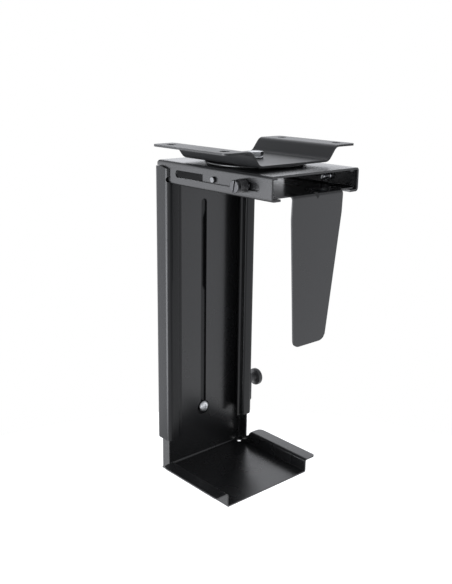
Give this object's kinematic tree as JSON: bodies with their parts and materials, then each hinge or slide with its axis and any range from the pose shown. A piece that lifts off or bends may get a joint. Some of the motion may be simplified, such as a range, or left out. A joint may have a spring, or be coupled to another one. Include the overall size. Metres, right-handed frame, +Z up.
{
  "type": "cpu holder",
  "caption": "Under-desk computer case holder with a swivel bracket, sliding clamp arm and telescopic upright with a tray, in bent black sheet steel.",
  "frame": {"origin": "on the swivel axis, in the plane of the desk underside that the bracket flanges lie against", "axes": "+X from the upright towards the clamp arm, +Y along the held case, +Z up towards the desk and along the swivel axis"},
  "size_m": [0.1676, 0.1696, 0.3553],
  "materials": {
    "bracket_powder": "satin black powder coat",
    "disc_powder": "satin black powder coat",
    "channel_powder": "satin black powder coat",
    "upright_powder": "satin black powder coat",
    "arm_powder": "satin black powder coat",
    "tray_powder": "satin black powder coat",
    "zinc": "bright zinc plate",
    "black_steel": "blackened steel",
    "knob_plastic": "black moulded plastic",
    "glide_nylon": "black nylon"
  },
  "bodies": {
    "desk_mount": {"mounting_plate": "bracket_powder", "swivel_disc": "disc_powder", "pivot_bolt": "zinc", "pivot_head_washer": "zinc", "pivot_nut_washer": "zinc", "pivot_locknut": "zinc"},
    "carrier": {"swivel_glide_ring": "glide_nylon", "top_channel": "channel_powder", "outer_upright": "upright_powder", "height_nut_plate": "black_steel", "guide_screw": "zinc", "guide_nut": "zinc"},
    "clamp_slide": {"clamp_slide_arm": "arm_powder", "slide_near_rivet_nut": "zinc", "slide_far_rivet_nut": "zinc", "slide_far_screw": "zinc", "slide_guide_pin": "zinc"},
    "width_knob": {"width_knob_grip": "knob_plastic", "width_knob_screw": "black_steel", "width_knob_washer": "black_steel"},
    "tray_upright": {"inner_upright_tray": "tray_powder"},
    "height_knob": {"height_knob_grip": "knob_plastic", "height_knob_stud": "black_steel"}
  },
  "joints": [
    {"name": "swivel", "type": "hinge", "parent": "desk_mount", "child": "carrier", "pos_m": [0, 0, 0], "axis": [0, 0, 1], "continuous": true},
    {"name": "width_slide", "type": "slide", "parent": "carrier", "child": "clamp_slide", "axis": [1, 0, 0], "range_m": [-0.0505, 0.0155]},
    {"name": "width_knob_turn", "type": "hinge", "parent": "clamp_slide", "child": "width_knob", "pos_m": [0.0464, 0, -0.0297], "axis": [0, -1, 0], "range_deg": [0, 450]},
    {"name": "height_slide", "type": "slide", "parent": "carrier", "child": "tray_upright", "axis": [0, 0, -1], "range_m": [0, 0.231]},
    {"name": "height_knob_turn", "type": "hinge", "parent": "carrier", "child": "height_knob", "pos_m": [-0.071, 0, -0.279], "axis": [0, 1, 0], "range_deg": [0, 450]}
  ]
}
